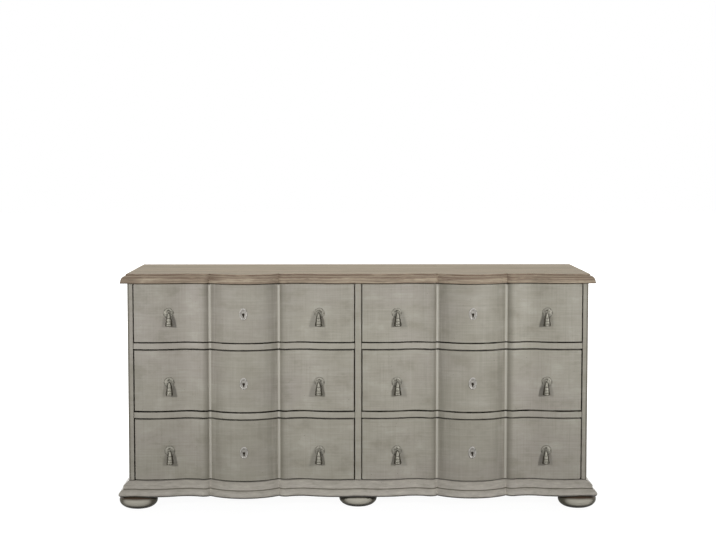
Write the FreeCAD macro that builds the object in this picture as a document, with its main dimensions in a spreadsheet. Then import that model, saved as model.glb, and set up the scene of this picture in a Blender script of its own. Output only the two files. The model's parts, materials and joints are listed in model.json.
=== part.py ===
import FreeCAD, Part
import math
import os

# Six-drawer dresser with a serpentine front. X runs to the right, Y to the back and Z up, in millimetres.
# The origin is on the floor, under the middle of the whole dresser.

Vector = FreeCAD.Vector
Rotation = FreeCAD.Rotation
Placement = FreeCAD.Placement

# Driving dimensions
SIZES = (
    ("body_width", 1728.8),
    ("overall_depth", 598),
    # heights, from the floor up
    ("foot_height", 51),
    ("base_height", 57.5),
    ("bottom_drawer_height", 230.5),
    ("middle_drawer_height", 230.5),
    ("top_drawer_height", 218.5),
    ("rail_height", 24.5),
    ("drawer_gap", 3),
    ("top_thickness", 35),
    # rises and falls of the serpentine front, from the middle of a drawer outwards
    ("bow_projection", 36),
    ("crease_depth", 53),
    ("crease_bead_radius", 4),
    ("roll_rise", 14.5),
    ("hollow_depth", 12.5),
    ("swell_rise", 21.5),
    # case boards
    ("side_thickness", 20),
    ("partition_thickness", 24),
    ("stile_depth", 45),
    ("stile_easing", 1.2),
    ("bottom_thickness", 16),
    ("back_thickness", 8),
    ("back_rabbet", 10),
    ("runner_width", 18),
    ("stop_width", 14),
    ("stop_length", 25),
    ("stop_height", 30),
    # moulded edge of the top
    ("top_overhang", 24.7),
    ("top_lip_height", 6),
    ("top_arris_inset", 20),
    ("top_fillet_height", 7),
    # base moulding
    ("base_overhang", 35.6),
    ("base_board_width", 45),
    ("base_foot_bevel", 6),
    ("base_lip_height", 12),
    ("base_ovolo_height", 17),
    ("base_fillet_overhang", 20),
    ("base_fillet_height", 12),
    ("back_rail_thickness", 22),
    # bun feet
    ("foot_belly_radius", 72),
    ("foot_belly_height", 31),
    ("foot_top_radius", 59),
    ("foot_outset", 5),
    ("middle_foot_setback", 24.6),
    # drawer boxes
    ("front_thickness", 34),
    ("front_corner_easing", 3),
    ("drawer_side_thickness", 12),
    ("box_top_clearance", 14),
    ("box_bottom_thickness", 6),
    ("box_bottom_lift", 10),
    ("groove_depth", 6),
    ("running_gap", 0.3),
    # escutcheons
    ("escutcheon_width", 30),
    ("escutcheon_height", 46),
    ("escutcheon_thickness", 2.8),
    ("escutcheon_rim", 3.2),
    ("escutcheon_dish", 1.3),
    ("keyhole_lift", 105.5),
    ("keyhole_drop", 3),
    ("keyhole_radius", 3.4),
    ("keyhole_slot_width", 3.2),
    ("keyhole_slot_length", 14),
    # rosettes and their eye posts
    ("pull_lift", 116),
    ("rosette_radius", 20),
    ("rosette_edge", 1.6),
    ("rosette_rise", 6),
    ("rosette_drop", 7),
    ("post_radius", 4.6),
    ("post_standoff", 15.5),
    ("eye_half_width", 3.7),
    ("eye_thickness", 4.2),
    # drop pulls
    ("pin_radius", 1.5),
    ("pin_clearance", 0.05),
    ("ear_clearance", 0.35),
    ("ear_thickness", 2),
    ("ear_rise", 4),
    ("ear_half_width", 3.2),
    ("drop_length", 55),
    ("drop_foot_radius", 13),
)
# Reach of each curve of the serpentine front, as a share of half a drawer front's width
REACH_SHARES = {"bow": 0.3146, "roll": 0.0581, "hollow": 0.1452, "swell": 0.3291}
# How far in from the crest of the outer swell a pull sits, as a share of the swell's reach
PULL_SHARE = 0.4926
OVOLO_STEPS = 2
BASE_OVOLO_STEPS = 2
COVE_STEPS = 2
LOWER_FOOT_STEPS = 3
UPPER_FOOT_STEPS = 2
FOOT_SIDES = 16
OVAL_SIDES = 12
ROSETTE_SIDES = 8
KEYHOLE_SIDES = 8
DROP_SIDES = 8

doc = FreeCAD.newDocument("dresser")
sheet = doc.addObject("Spreadsheet::Sheet", "Sizes")
for row, (alias, number) in enumerate(SIZES, start=1):
    sheet.set(f"A{row}", alias)
    sheet.set(f"B{row}", str(number))
    sheet.setAlias(f"B{row}", alias)
doc.recompute()

parts = {}


def value(text):
    """Number that an expression in the sheet's names comes to."""
    return float(sheet.evalExpression(text))


def size(name):
    return value(f"Sizes.{name}")


def bind(item, **texts):
    """Tie properties of an object to expressions."""
    for name, text in texts.items():
        item.setExpression(name, text)


def seat(item, x="0", y="0", z="0"):
    """Tie an object's place to expressions."""
    for axis, text in zip("xyz", (x, y, z)):
        item.setExpression(f".Placement.Base.{axis}", text)


def keep(item, label):
    """Make an object a sub-part under its own label."""
    item.Label = label
    parts[label] = item
    return item


def board(name, corner, extent):
    """Plain board: its lowest corner and its extent along X, Y and Z, as expressions."""
    box = doc.addObject("Part::Box", name)
    bind(box, Length=extent[0], Width=extent[1], Height=extent[2])
    seat(box, *corner)
    return box


def group(label, members):
    """Several separate solids that share one sub-part."""
    compound = doc.addObject("Part::Compound", label)
    compound.Links = members
    return keep(compound, label)


def plane_sketch(body, name, role):
    """Empty sketch on one of a body's own origin planes."""
    sketch = body.newObject("Sketcher::SketchObject", name)
    plane = next(item for item in body.Origin.OriginFeatures if item.Role == role)
    sketch.AttachmentSupport = [(plane, "")]
    sketch.MapMode = "FlatFace"
    return sketch


def closed_outline(sketch, points):
    """Closed run of straight lines."""
    points = [Vector(x, y) for x, y in points]
    for first, last in zip(points, points[1:] + points[:1]):
        sketch.addGeometry(Part.LineSegment(first, last))


def pad(body, sketch, length):
    feature = body.newObject("PartDesign::Pad", f"{sketch.Name}_pad")
    feature.Profile = sketch
    bind(feature, Length=length)
    return feature


def block(body, kind, name, corner, extent):
    """Box added to a body or cut from it."""
    box = body.newObject(f"PartDesign::{kind}Box", name)
    bind(box, Length=extent[0], Width=extent[1], Height=extent[2])
    seat(box, *corner)
    return box


# Levels and planes, as expressions
HALF_BODY = "(Sizes.body_width / 2)"
BACK = "(Sizes.overall_depth / 2)"
FRONT = "(Sizes.base_overhang + Sizes.bow_projection - Sizes.overall_depth / 2)"
BASE_TOP = "(Sizes.foot_height + Sizes.base_height)"
OPENING = {
    row: f"(2 * Sizes.drawer_gap + Sizes.{row}_drawer_height)" for row in ("bottom", "middle", "top")
}
FLOOR = {"bottom": BASE_TOP}
FLOOR["middle"] = f"({FLOOR['bottom']} + {OPENING['bottom']} + Sizes.rail_height)"
FLOOR["top"] = f"({FLOOR['middle']} + {OPENING['middle']} + Sizes.rail_height)"
CASE_TOP = f"({FLOOR['top']} + {OPENING['top']})"
CASE_HEIGHT = f"({CASE_TOP} - {BASE_TOP})"

# One bay lies between the centre stile and a corner stile
BAY_START = "(Sizes.partition_thickness / 2)"
BAY_WIDTH = f"({HALF_BODY} - Sizes.side_thickness - {BAY_START})"
BAY_CENTRE = f"({BAY_START} + {BAY_WIDTH} / 2)"
FRONT_WIDTH = f"({BAY_WIDTH} - 2 * Sizes.drawer_gap)"
STILE_BACK = f"({FRONT} + Sizes.stile_depth)"
BACK_FACE = f"({BACK} - Sizes.back_thickness)"
STOP_FRONT = f"({BACK_FACE} - Sizes.stop_length)"
BOX_START = f"({FRONT} + Sizes.front_thickness)"
BOX_LENGTH = f"({STOP_FRONT} - Sizes.running_gap - {BOX_START})"
COLUMNS = {"left": -1, "right": 1}


# Serpentine plan
def crown_radius(reach, drop):
    """Radius of an arc whose crest lies a reach away from, and a drop above, a point on it."""
    return (reach**2 + drop**2) / (2 * drop)


class Plan:
    """Serpentine line of one drawer: u from its middle, forward of the stiles' face."""

    def __init__(self):
        self.end = value(FRONT_WIDTH) / 2
        reach = {name: share * self.end for name, share in REACH_SHARES.items()}
        crest = size("bow_projection")
        crease = Vector(reach["bow"], crest - size("crease_depth"))
        bead = size("crease_bead_radius")
        bow_radius = crown_radius(crease.x, size("crease_depth"))
        roll_radius = crown_radius(reach["roll"], size("roll_rise"))
        hollow_radius = crown_radius(reach["hollow"], size("hollow_depth")) - roll_radius
        self.swell_radius = crown_radius(reach["swell"], size("swell_rise")) - hollow_radius

        bow = Vector(0, crest - bow_radius)
        roll_crest = crease + Vector(reach["roll"], size("roll_rise"))
        roll = roll_crest - Vector(0, roll_radius)
        hollow_low = roll_crest + Vector(reach["hollow"], -size("hollow_depth"))
        hollow = hollow_low + Vector(0, hollow_radius)
        self.swell_crest = hollow_low + Vector(reach["swell"], size("swell_rise"))
        self.swell = self.swell_crest - Vector(0, self.swell_radius)
        self.pull_inset = PULL_SHARE * reach["swell"]

        bow_end = self.turn(bow, crease, 2 * math.asin(bead / (2 * bow_radius)))
        roll_start = self.turn(roll, crease, -2 * math.asin(bead / (2 * roll_radius)))
        bead_top = crease + ((bow_end - crease) + (roll_start - crease)).normalize() * bead
        roll_end = roll + (hollow - roll).normalize() * roll_radius
        hollow_end = hollow + (self.swell - hollow).normalize() * hollow_radius
        self.bead = ((bow_end, bead_top), (bead_top, roll_start))
        self.crease = crease
        self.crest = Vector(0, crest)
        self.roll = (roll_start, roll_crest, roll_end)
        self.outer = (
            (roll_end, hollow_low, hollow_end),
            (hollow_end, self.on_swell((hollow_end.x + self.end) / 2), self.on_swell(self.end)),
        )

    @staticmethod
    def turn(centre, point, angle):
        """Point turned anticlockwise about a centre."""
        arm = point - centre
        cos, sin = math.cos(angle), math.sin(angle)
        return centre + Vector(cos * arm.x - sin * arm.y, sin * arm.x + cos * arm.y)

    @staticmethod
    def mirror(point):
        return Vector(-point.x, point.y)

    def on_swell(self, u):
        """Point of the outer swell at a distance from the drawer's middle."""
        rise = math.sqrt(self.swell_radius**2 - (u - self.swell.x) ** 2)
        return Vector(u, self.swell.y + rise)

    def runs(self, beaded):
        """Points of each arc, and of each flat of the crease beads, from the left end to the right end."""
        if beaded:
            right = [*self.bead, self.roll, *self.outer]
        else:
            right = [(self.crease, *self.roll[1:]), *self.outer]
        left = [tuple(self.mirror(point) for point in reversed(run)) for run in reversed(right)]
        start = right[0][0]
        return left + [(self.mirror(start), self.crest, start)] + right


plan = Plan()


def local(point):
    """Plan point in a body's own frame, where Y runs back from the stiles' face."""
    return Vector(point.x, -point.y, 0)


def curve(points):
    """Arc through three points, or a line between two."""
    if len(points) == 2:
        return Part.LineSegment(*points)
    return Part.Arc(*points)


def front_edges(column, projection, height):
    """Serpentine line of one bay from stile to stile, moved forward by a projection."""
    middle = COLUMNS[column] * value(BAY_CENTRE)
    reach = value(BAY_WIDTH) / 2

    def place(point):
        return Vector(middle + point.x, value(FRONT) - point.y - projection, height)

    runs = [[place(point) for point in run] for run in plan.runs(beaded=False)]
    runs.insert(0, [place(Vector(-reach, 0)), runs[0][0]])
    runs.append([runs[-1][-1], place(Vector(reach, 0))])
    return [curve(run).toShape() for run in runs]


def moulded_section(projection, height, rear):
    """Closed outline of a moulding that follows the whole front, closed by a polyline behind it."""
    corner = Vector(value(HALF_BODY) + projection, value(FRONT) - projection, height)
    left = front_edges("left", projection, height)
    right = front_edges("right", projection, height)
    ends = [Vector(-corner.x, corner.y, height), left[0].Vertexes[0].Point]
    middle = [left[-1].Vertexes[-1].Point, right[0].Vertexes[0].Point]
    around = [right[-1].Vertexes[-1].Point, corner]
    around += [Vector(x, y, height) for x, y in rear]
    around += [ends[0]]
    lines = [list(zip(chain, chain[1:])) for chain in (ends, middle, around)]
    lines = [[Part.LineSegment(*pair).toShape() for pair in chain] for chain in lines]
    return Part.Wire(lines[0] + left + lines[1] + right + lines[2])


def straight_section(projection, height, rear):
    """Closed outline of the right-hand side moulding."""
    corner = Vector(value(HALF_BODY) + projection, value(FRONT) - projection, height)
    points = [corner, Vector(corner.x, value(BACK), height)]
    points += [Vector(x, y, height) for x, y in rear]
    return Part.makePolygon(points + [corner])


def loft(sections):
    """Solid ruled through outlines that have the same number of edges."""
    return Part.makeLoft(sections, True, True)


def solid_part(name, shape):
    feature = doc.addObject("Part::Feature", name)
    feature.Shape = shape
    return feature


UPRIGHT = Rotation()
DOWNWARD = Rotation(Vector(0, 0, 1), Vector(0, 0, -1))
FORWARD = Rotation(Vector(0, 0, 1), Vector(0, -1, 0))
ACROSS = Rotation(Vector(0, 0, 1), Vector(1, 0, 0))


def turned(name, sides, levels, turn, stretch=1):
    """Turning of flat facets: each ring's radius, its place along the axis and how far it drops off it."""
    angles = [2 * math.pi * side / sides for side in range(sides)]
    spokes = [Vector(math.cos(angle), stretch * math.sin(angle)) for angle in angles]
    loops = []
    for radius, along, *drop in levels:
        centre = Vector(0, -sum(drop), along)
        loops.append([turn.multVec(spoke * radius + centre) for spoke in spokes])
    outlines = [loops[0], loops[-1]]
    for lower, upper in zip(loops, loops[1:]):
        for side in range(sides):
            outlines.append([lower[side - 1], lower[side], upper[side], upper[side - 1]])
    faces = [Part.Face(Part.makePolygon(outline + outline[:1])) for outline in outlines]
    return solid_part(name, Part.Solid(Part.Shell(faces)))


def quarter_steps(count):
    """Angles that share out a quarter turn."""
    return [math.pi / 2 * step / count for step in range(count + 1)]


# Top panel
def top_profile():
    """Projection and height of each line of the top's moulded edge, from below upwards."""
    under = value(CASE_TOP)
    top = under + size("top_thickness")
    reach = size("top_overhang")
    arris = reach - size("top_arris_inset")
    lip = under + size("top_lip_height")
    fillet = top - size("top_fillet_height")
    rise = fillet - lip
    lines = [(reach, under)]
    for angle in quarter_steps(OVOLO_STEPS):
        lines.append((arris + (reach - arris) * math.cos(angle), lip + rise * math.sin(angle)))
    return lines + [(arris, top)]


def top_panel():
    sections = []
    for projection, height in top_profile():
        side = value(HALF_BODY) + projection
        rear = [(side, value(BACK)), (-side, value(BACK))]
        sections.append(moulded_section(projection, height, rear))
    keep(solid_part("top_panel", loft(sections)), "top_panel")


# Base moulding
def base_profile():
    """Projection and height of each line of the base moulding, from below upwards."""
    under = size("foot_height")
    reach, fillet = size("base_overhang"), size("base_fillet_overhang")
    lip = under + size("base_lip_height")
    ledge = lip + size("base_ovolo_height")
    cove = ledge + size("base_fillet_height")
    bevel = size("base_foot_bevel")
    lines = [(reach - bevel, under), (reach, under + bevel), (reach, lip)]
    for angle in quarter_steps(BASE_OVOLO_STEPS)[1:]:
        drop = (reach - fillet) * (1 - math.cos(angle))
        lines.append((reach - drop, lip + (ledge - lip) * math.sin(angle)))
    for angle in quarter_steps(COVE_STEPS):
        hollow = (value(BASE_TOP) - cove) * (1 - math.cos(angle))
        lines.append((fillet * (1 - math.sin(angle)), cove + hollow))
    return lines


def base():
    inside = value(HALF_BODY) - size("base_board_width")
    behind = value(FRONT) + size("base_board_width")
    front_rear = [(inside, behind), (-inside, behind)]
    side_rear = [(inside, value(BACK)), (inside, behind)]
    front, side = [], []
    for projection, height in base_profile():
        front.append(moulded_section(projection, height, front_rear))
        side.append(straight_section(projection, height, side_rear))
    keep(solid_part("front_base_moulding", loft(front)), "front_base_moulding")
    right = solid_part("right_base_moulding", loft(side))
    left = doc.addObject("Part::Mirroring", "left_base_moulding")
    left.Source = right
    left.Normal = Vector(1, 0, 0)
    group("side_base_mouldings", [left, right])
    back_rail = board(
        "back_base_rail",
        (f"Sizes.base_board_width - {HALF_BODY}", f"{BACK} - Sizes.back_rail_thickness", "Sizes.foot_height"),
        (
            f"2 * ({HALF_BODY} - Sizes.base_board_width)",
            "Sizes.back_rail_thickness",
            "Sizes.base_height - Sizes.bottom_thickness",
        ),
    )
    keep(back_rail, "back_base_rail")


def bun_feet():
    """Turned feet under the front corners and middle, and the same again at the back."""
    belly, waist = size("foot_belly_radius"), size("foot_belly_height")
    top, height = size("foot_top_radius"), size("foot_height")
    shoulder = crown_radius(height - waist, belly - top)
    reach = math.asin((height - waist) / shoulder)
    levels = []
    for step in range(LOWER_FOOT_STEPS):
        angle = math.pi / 2 * (step / LOWER_FOOT_STEPS - 1)
        levels.append((belly - waist + waist * math.cos(angle), waist + waist * math.sin(angle)))
    for step in range(UPPER_FOOT_STEPS + 1):
        angle = reach * step / UPPER_FOOT_STEPS
        levels.append((belly - shoulder + shoulder * math.cos(angle), waist + shoulder * math.sin(angle)))
    body = turned("bun_foot", FOOT_SIDES, levels, UPRIGHT)
    inset = "(Sizes.foot_belly_radius - Sizes.foot_outset)"
    edge = f"({FRONT} - Sizes.base_overhang)"
    corner_front = f"{edge} + {inset}"
    middle_front = f"{edge} + Sizes.middle_foot_setback + Sizes.foot_belly_radius"
    rows = {
        "front": (corner_front, middle_front, corner_front),
        "back": (f"{BACK} - Sizes.foot_belly_radius",) * 3,
    }
    feet = []
    for row, places in rows.items():
        for sign, y in zip((-1, 0, 1), places):
            foot = doc.addObject("App::Link", f"{row}_foot")
            foot.LinkedObject = body
            seat(foot, f"{sign} * ({HALF_BODY} + Sizes.base_overhang - {inset})", y, "0")
            feet.append(foot)
    group("bun_feet", feet)


# Case
def side_panel(label, sign):
    """Side panel with a rabbet for the back, drawn in plan and padded up."""
    body = doc.addObject("PartDesign::Body", label)
    sketch = plane_sketch(body, f"{label}_plan", "XY_Plane")
    outer = sign * value(HALF_BODY)
    inner = outer - sign * size("side_thickness")
    rabbet = inner + sign * size("back_rabbet")
    start, step, end = value(STILE_BACK), value(BACK_FACE), value(BACK)
    outline = [(outer, start), (outer, end), (rabbet, end), (rabbet, step), (inner, step), (inner, start)]
    closed_outline(sketch, outline)
    pad(body, sketch, CASE_HEIGHT)
    seat(body, z=BASE_TOP)
    keep(body, label)


def stile(name, left, width):
    """Upright on the front, with its two front arrises eased."""
    body = doc.addObject("PartDesign::Body", name)
    extent = (width, "Sizes.stile_depth", CASE_HEIGHT)
    stock = block(body, "Additive", f"{name}_stock", ("0", "0", "0"), extent)
    doc.recompute()
    edges = []
    for number, edge in enumerate(stock.Shape.Edges, start=1):
        upright = abs(edge.tangentAt(edge.FirstParameter).z) > 1 / 2
        if upright and edge.CenterOfMass.y < size("stile_depth") / 2:
            edges.append(f"Edge{number}")
    easing = body.newObject("PartDesign::Chamfer", f"{name}_easing")
    easing.Base = (stock, edges)
    bind(easing, Size="Sizes.stile_easing")
    seat(body, left, FRONT, BASE_TOP)
    return body


def stiles():
    left = stile("left_corner_stile", f"-{HALF_BODY}", "Sizes.side_thickness")
    right = stile("right_corner_stile", f"{HALF_BODY} - Sizes.side_thickness", "Sizes.side_thickness")
    group("corner_stiles", [left, right])
    keep(stile("middle_stile", f"-{BAY_START}", "Sizes.partition_thickness"), "centre_stile")


def serpentine_outline(sketch, behind):
    """Beaded serpentine line closed by straight lines through the points behind it."""
    runs = [[local(point) for point in run] for run in plan.runs(beaded=True)]
    chain = [runs[-1][-1]] + [Vector(x, y) for x, y in behind] + [runs[0][0]]
    runs += zip(chain, chain[1:])
    for run in runs:
        sketch.addGeometry(curve(run))


def rail(label, column, row):
    """Serpentine rail under a row of drawers."""
    body = doc.addObject("PartDesign::Body", label)
    sketch = plane_sketch(body, f"{label}_plan", "XY_Plane")
    reach, depth = value(BAY_WIDTH) / 2, size("stile_depth")
    serpentine_outline(sketch, [(reach, 0), (reach, depth), (-reach, depth), (-reach, 0)])
    pad(body, sketch, "Sizes.rail_height")
    seat(body, f"{COLUMNS[column]} * {BAY_CENTRE}", FRONT, f"{FLOOR[row]} - Sizes.rail_height")
    keep(body, label)


def case_boards():
    depth = f"{BACK_FACE} - {STILE_BACK}"
    partition = board(
        "partition_board",
        (f"-{BAY_START}", STILE_BACK, BASE_TOP),
        ("Sizes.partition_thickness", depth, CASE_HEIGHT),
    )
    keep(partition, "centre_partition")
    back_half = f"({HALF_BODY} - Sizes.side_thickness + Sizes.back_rabbet)"
    back = board(
        "back_board",
        (f"-{back_half}", BACK_FACE, BASE_TOP),
        (f"2 * {back_half}", "Sizes.back_thickness", CASE_HEIGHT),
    )
    keep(back, "back_panel")
    base_inner = f"({HALF_BODY} - Sizes.base_board_width)"
    base_behind = f"({FRONT} + Sizes.base_board_width)"
    bottom = board(
        "bottom_board",
        (f"-{base_inner}", base_behind, f"{BASE_TOP} - Sizes.bottom_thickness"),
        (f"2 * {base_inner}", f"{BACK} - {base_behind}", "Sizes.bottom_thickness"),
    )
    keep(bottom, "bottom_panel")


def bay_strips(width):
    """Left edge of a strip fixed to each wall of the two bays."""
    return {
        "outer_left": f"Sizes.side_thickness - {HALF_BODY}",
        "inner_left": f"-{BAY_START} - {width}",
        "inner_right": BAY_START,
        "outer_right": f"{HALF_BODY} - Sizes.side_thickness - {width}",
    }


def runners_and_stops():
    runners, stops = [], []
    for row in ("bottom", "middle", "top"):
        for wall, x in bay_strips("Sizes.stop_width").items():
            stop = board(
                f"{row}_{wall}_stop",
                (x, STOP_FRONT, FLOOR[row]),
                ("Sizes.stop_width", "Sizes.stop_length", "Sizes.stop_height"),
            )
            stops.append(stop)
        if row == "bottom":
            continue
        for wall, x in bay_strips("Sizes.runner_width").items():
            runner = board(
                f"{row}_{wall}_runner",
                (x, STILE_BACK, f"{FLOOR[row]} - Sizes.rail_height"),
                ("Sizes.runner_width", f"{BACK_FACE} - {STILE_BACK}", "Sizes.rail_height"),
            )
            runners.append(runner)
    group("drawer_runners", runners)
    group("drawer_stops", stops)


# Handles and keyhole plates, each modelled once and placed on every drawer
def escutcheon():
    """Oval plate with a raised rim, a dished face and a keyhole. Its back lies on the XZ plane."""
    half_width, thickness = size("escutcheon_width") / 2, size("escutcheon_thickness")
    rim, dish = size("escutcheon_rim"), size("escutcheon_dish")
    levels = (
        (half_width, 0),
        (half_width, thickness - dish),
        (half_width - rim / 2, thickness),
        (half_width - rim, thickness - dish),
    )
    tall = size("escutcheon_height") / size("escutcheon_width")
    plate = turned("escutcheon_plate", OVAL_SIDES, levels, FORWARD, tall)
    key_levels = ((size("keyhole_radius"), 0), (size("keyhole_radius"), thickness))
    bow = turned("keyhole_round", KEYHOLE_SIDES, key_levels, FORWARD)
    seat(bow, z="-Sizes.keyhole_drop")
    width, length = "Sizes.keyhole_slot_width", "Sizes.keyhole_slot_length"
    deep = "Sizes.escutcheon_thickness"
    slot_corner = (f"-{width} / 2", f"-{deep}", f"-Sizes.keyhole_drop - {length}")
    slot = board("keyhole_slot", slot_corner, (width, deep, length))
    pierced = doc.addObject("Part::Cut", "escutcheon")
    pierced.Base = plate
    pierced.Tool = joined("keyhole", [bow, slot])
    return pierced


def joined(name, members):
    fusion = doc.addObject("Part::MultiFuse", name)
    fusion.Shapes = members
    return fusion


# The drop's neck swings clear of the eye's corners, and the ears swing clear of the post
EYE_HALF = "(Sizes.eye_thickness / 2)"
EAR_INNER = f"({EYE_HALF} + Sizes.ear_clearance)"
EAR_OUTER = f"({EAR_INNER} + Sizes.ear_thickness)"
DROP_NECK = "(hypot(Sizes.eye_half_width; Sizes.eye_half_width) + Sizes.ear_clearance)"
POST_END = "(hypot(Sizes.ear_half_width; Sizes.ear_rise) + Sizes.ear_clearance)"


def rosette():
    """Rosette with a post, above its middle, that ends in a square eye. The pivot is at the origin."""
    radius, edge, post = size("rosette_radius"), size("rosette_edge"), size("post_radius")
    back, drop = -size("post_standoff"), size("rosette_drop")
    levels = (
        (radius, back, drop),
        (radius, back + edge, drop),
        (post + edge, back + size("rosette_rise")),
        (post, -value(POST_END)),
    )
    disc = turned("rosette_disc", ROSETTE_SIDES, levels, FORWARD)
    eye = board(
        "rosette_eye",
        (f"-{EYE_HALF}", "-Sizes.eye_half_width", "-Sizes.eye_half_width"),
        ("Sizes.eye_thickness", f"Sizes.eye_half_width + {POST_END}", "2 * Sizes.eye_half_width"),
    )
    hole = "(Sizes.pin_radius + Sizes.pin_clearance)"
    pierced = doc.addObject("Part::Cut", "rosette")
    pierced.Base = joined("rosette_stock", [disc, eye])
    pierced.Tool = board(
        "rosette_hole",
        (f"-{EYE_HALF}", f"-{hole}", f"-{hole}"),
        ("Sizes.eye_thickness", f"2 * {hole}", f"2 * {hole}"),
    )
    return pierced


# Radius and drop of each ring of a pull, as shares of the foot's radius and of the length below the neck
DROP_RING_SHARES = (
    (0.34, 0),
    (0.55, 0.38),
    (0.76, 0.63),
    (1, 0.95),
    (0.92, 1),
)


def drop_pull():
    """Flared drop hanging from the pivot at the origin, with two ears and the pin between them."""
    foot, neck = size("drop_foot_radius"), value(DROP_NECK)
    run = size("drop_length") - neck
    levels = [(foot * width, neck + run * down) for width, down in DROP_RING_SHARES]
    members = [turned("drop", DROP_SIDES, levels, DOWNWARD)]
    for side, x in (("left", f"-{EAR_OUTER}"), ("right", EAR_INNER)):
        ear = board(
            f"{side}_ear",
            (x, "-Sizes.ear_half_width", f"-{DROP_NECK}"),
            ("Sizes.ear_thickness", "2 * Sizes.ear_half_width", f"{DROP_NECK} + Sizes.ear_rise"),
        )
        members.append(ear)
    pin_half = f"({EAR_INNER} + Sizes.ear_thickness / 2)"
    pin = doc.addObject("Part::Cylinder", "drop_pin")
    bind(pin, Radius="Sizes.pin_radius", Height=f"2 * {pin_half}")
    pin.Placement = Placement(Vector(), ACROSS)
    seat(pin, x=f"-{pin_half}")
    return joined("drop_pull", members + [pin])


# Drawers
def pivot_place(sign):
    """Place of a pull's pivot in a drawer's own frame, square to the swell behind it."""
    foot = plan.on_swell(plan.swell_crest.x - plan.pull_inset)
    tilt = math.degrees(math.asin(plan.pull_inset / plan.swell_radius))
    turn = Rotation(Vector(0, 0, 1), -sign * tilt)
    seat_point = Vector(sign * foot.x, -foot.y, size("pull_lift"))
    return Placement(seat_point + turn.multVec(Vector(0, -size("post_standoff"), 0)), turn)


def drawer_front(label, row, corner):
    """Front sawn to the serpentine line, flat and grooved behind, with eased corners."""
    body = doc.addObject("PartDesign::Body", label)
    sketch = plane_sketch(body, f"{label}_plan", "XY_Plane")
    depth = size("front_thickness")
    serpentine_outline(sketch, [(plan.end, depth), (-plan.end, depth)])
    stock = pad(body, sketch, f"Sizes.{row}_drawer_height")
    doc.recompute()
    ends = []
    for number, edge in enumerate(stock.Shape.Edges, start=1):
        along_depth = abs(edge.tangentAt(edge.FirstParameter).y) > 1 / 2
        if along_depth and abs(edge.CenterOfMass.x) > plan.swell_crest.x and len(edge.Vertexes) == 2:
            if isinstance(edge.Curve, Part.Line):
                ends.append(f"Edge{number}")
    easing = body.newObject("PartDesign::Chamfer", f"{label}_corners")
    easing.Base = (stock, ends)
    bind(easing, Size="Sizes.front_corner_easing")
    half_groove = f"({FRONT_WIDTH} / 2 - Sizes.drawer_side_thickness + Sizes.groove_depth)"
    block(
        body,
        "Subtractive",
        f"{label}_groove",
        (
            f"-{half_groove}",
            "Sizes.front_thickness - Sizes.groove_depth",
            "Sizes.box_bottom_lift + Sizes.running_gap - Sizes.drawer_gap",
        ),
        (f"2 * {half_groove}", "Sizes.groove_depth", "Sizes.box_bottom_thickness"),
    )
    seat(body, *corner)
    keep(body, label)


def drawer_box(label, row, middle):
    """Sides, back and grooved-in bottom behind a drawer front."""
    half = f"({FRONT_WIDTH} / 2)"
    floor = f"({FLOOR[row]} + Sizes.running_gap)"
    height = f"({OPENING[row]} - Sizes.box_top_clearance)"
    thick = "Sizes.drawer_side_thickness"
    inner = f"({half} - {thick})"
    slot_floor = f"{floor} + Sizes.box_bottom_lift"
    slot_half = f"({inner} + Sizes.groove_depth)"
    sides = []
    for side, x in (("left", f"{middle} - {half}"), ("right", f"{middle} + {inner}")):
        stock = board(f"{label}_{side}_stock", (x, BOX_START, floor), (thick, BOX_LENGTH, height))
        groove = board(
            f"{label}_{side}_groove",
            (f"{middle} - {slot_half}", BOX_START, slot_floor),
            (f"2 * {slot_half}", BOX_LENGTH, "Sizes.box_bottom_thickness"),
        )
        cut = doc.addObject("Part::Cut", f"{label}_{side}_side")
        cut.Base = stock
        cut.Tool = groove
        sides.append(cut)
    group(f"{label}_sides", sides)
    bottom = board(
        f"{label}_floor",
        (f"{middle} - {slot_half}", f"{BOX_START} - Sizes.groove_depth", slot_floor),
        (f"2 * {slot_half}", f"{BOX_LENGTH} + Sizes.groove_depth", "Sizes.box_bottom_thickness"),
    )
    keep(bottom, f"{label}_bottom")
    back_floor = f"({slot_floor} + Sizes.box_bottom_thickness)"
    back = board(
        f"{label}_rear",
        (f"{middle} - {inner}", f"{BOX_START} + {BOX_LENGTH} - {thick}", back_floor),
        (f"2 * {inner}", thick, f"{floor} + {height} - {back_floor}"),
    )
    keep(back, f"{label}_back")


def drawer_fittings(label, corner, masters):
    """Escutcheon and rosettes fixed to a drawer front, and the two pulls that swing on them."""
    origin = Vector(*(value(text) for text in corner))
    bow = Vector(0, -size("bow_projection"), size("keyhole_lift") + size("keyhole_drop"))
    plate = doc.addObject("App::Link", f"{label}_escutcheon")
    plate.LinkedObject = masters["escutcheon"]
    plate.Placement = Placement(origin + bow, Rotation())
    fixed = [plate]
    for side, sign in COLUMNS.items():
        place = pivot_place(sign)
        place.Base = place.Base + origin
        fixing = doc.addObject("App::Link", f"{label}_{side}_rosette")
        fixing.LinkedObject = masters["rosette"]
        fixing.Placement = place
        fixed.append(fixing)
        pull = doc.addObject("App::Link", f"{label}_{side}_drop")
        pull.LinkedObject = masters["drop_pull"]
        pull.Placement = place
        keep(pull, f"{label}_{side}_pull")
    group(f"{label}_plates", fixed)


def drawers():
    masters = {"escutcheon": escutcheon(), "rosette": rosette(), "drop_pull": drop_pull()}
    doc.recompute()
    for row in ("top", "middle", "bottom"):
        for column, sign in COLUMNS.items():
            label = f"{row}_{column}_drawer"
            middle = f"{sign} * {BAY_CENTRE}"
            corner = (middle, FRONT, f"{FLOOR[row]} + Sizes.drawer_gap")
            drawer_front(f"{label}_front", row, corner)
            drawer_box(label, row, middle)
            drawer_fittings(label, corner, masters)


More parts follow.
